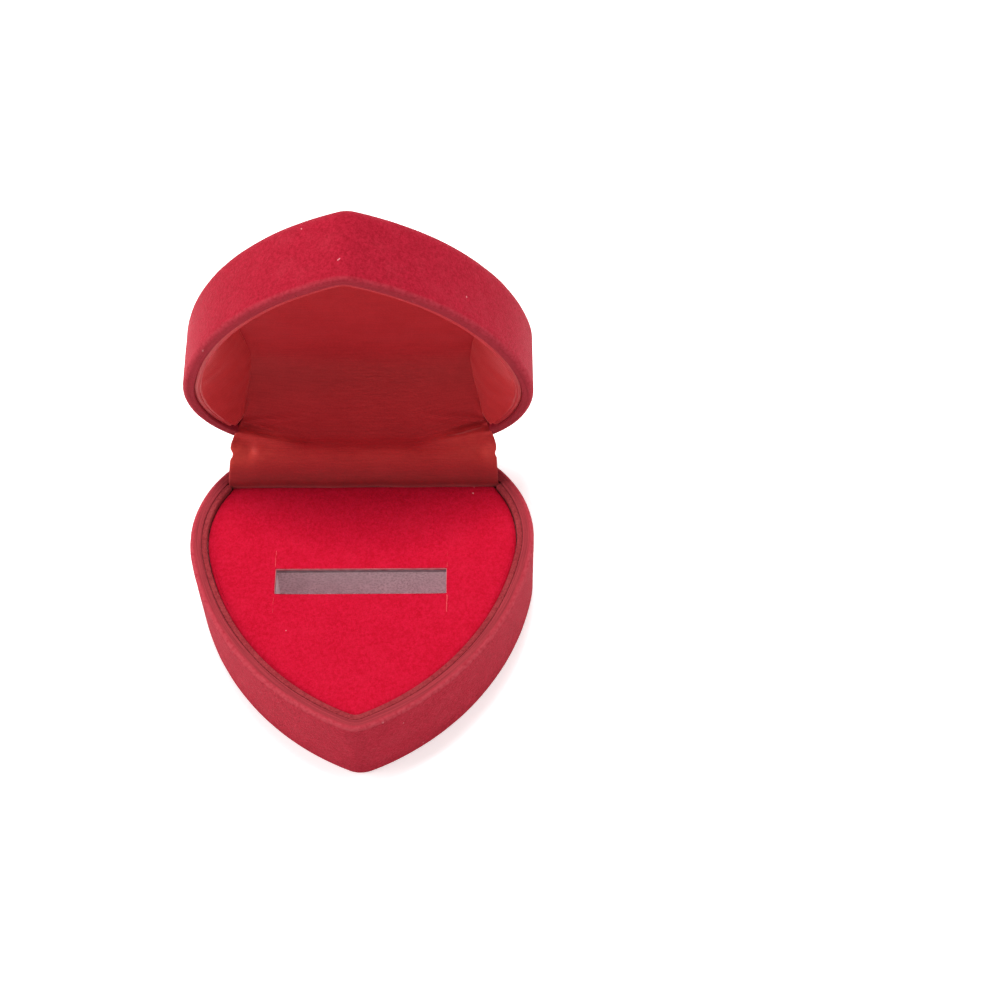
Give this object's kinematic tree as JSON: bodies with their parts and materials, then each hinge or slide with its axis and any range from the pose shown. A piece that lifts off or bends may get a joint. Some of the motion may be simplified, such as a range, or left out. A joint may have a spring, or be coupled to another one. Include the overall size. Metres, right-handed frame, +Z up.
{
  "type": "heart-shaped ring box",
  "caption": "Heart-shaped flocked ring box, open, with a domed lid on a spring hinge, satin lining and a slotted ring insert.",
  "frame": {"origin": "middle of the base's flat underside, midway between the heart's tip and its back", "axes": "+Z up from the resting face, the heart's tip at -Y, the hinge at +Y, +X along the hinge to the right seen from the front"},
  "size_m": [0.048, 0.0578, 0.0598],
  "materials": {
    "flocked_shell": "matte",
    "red_board": "matte",
    "grey_foam": "matte",
    "grey_board": "matte",
    "insert_velvet": "matte",
    "satin": "satin",
    "hinge_steel": "satin",
    "spring_steel": "satin"
  },
  "bodies": {
    "base": {"base_shell": "flocked_shell", "base_liner": "red_board", "ring_foam": "grey_foam", "insert_card": "grey_board", "insert_flock": "insert_velvet", "hinge_leaf_base": "hinge_steel", "hinge_pin": "hinge_steel", "snap_spring": "spring_steel", "hinge_ribbon": "satin"},
    "lid": {"lid_shell": "flocked_shell", "lid_wall_lining": "satin", "lid_side_panel_left": "satin", "lid_side_panel_right": "satin", "lid_ceiling_card": "grey_board", "lid_ceiling_satin": "satin", "hinge_leaf_lid": "hinge_steel"}
  },
  "joints": [
    {"name": "lid_hinge", "type": "hinge", "parent": "base", "child": "lid", "pos_m": [0, 0.02215, 0.014], "axis": [1, 0, 0], "range_deg": [0, 84], "deforming": ["snap_spring", "hinge_ribbon"]}
  ]
}
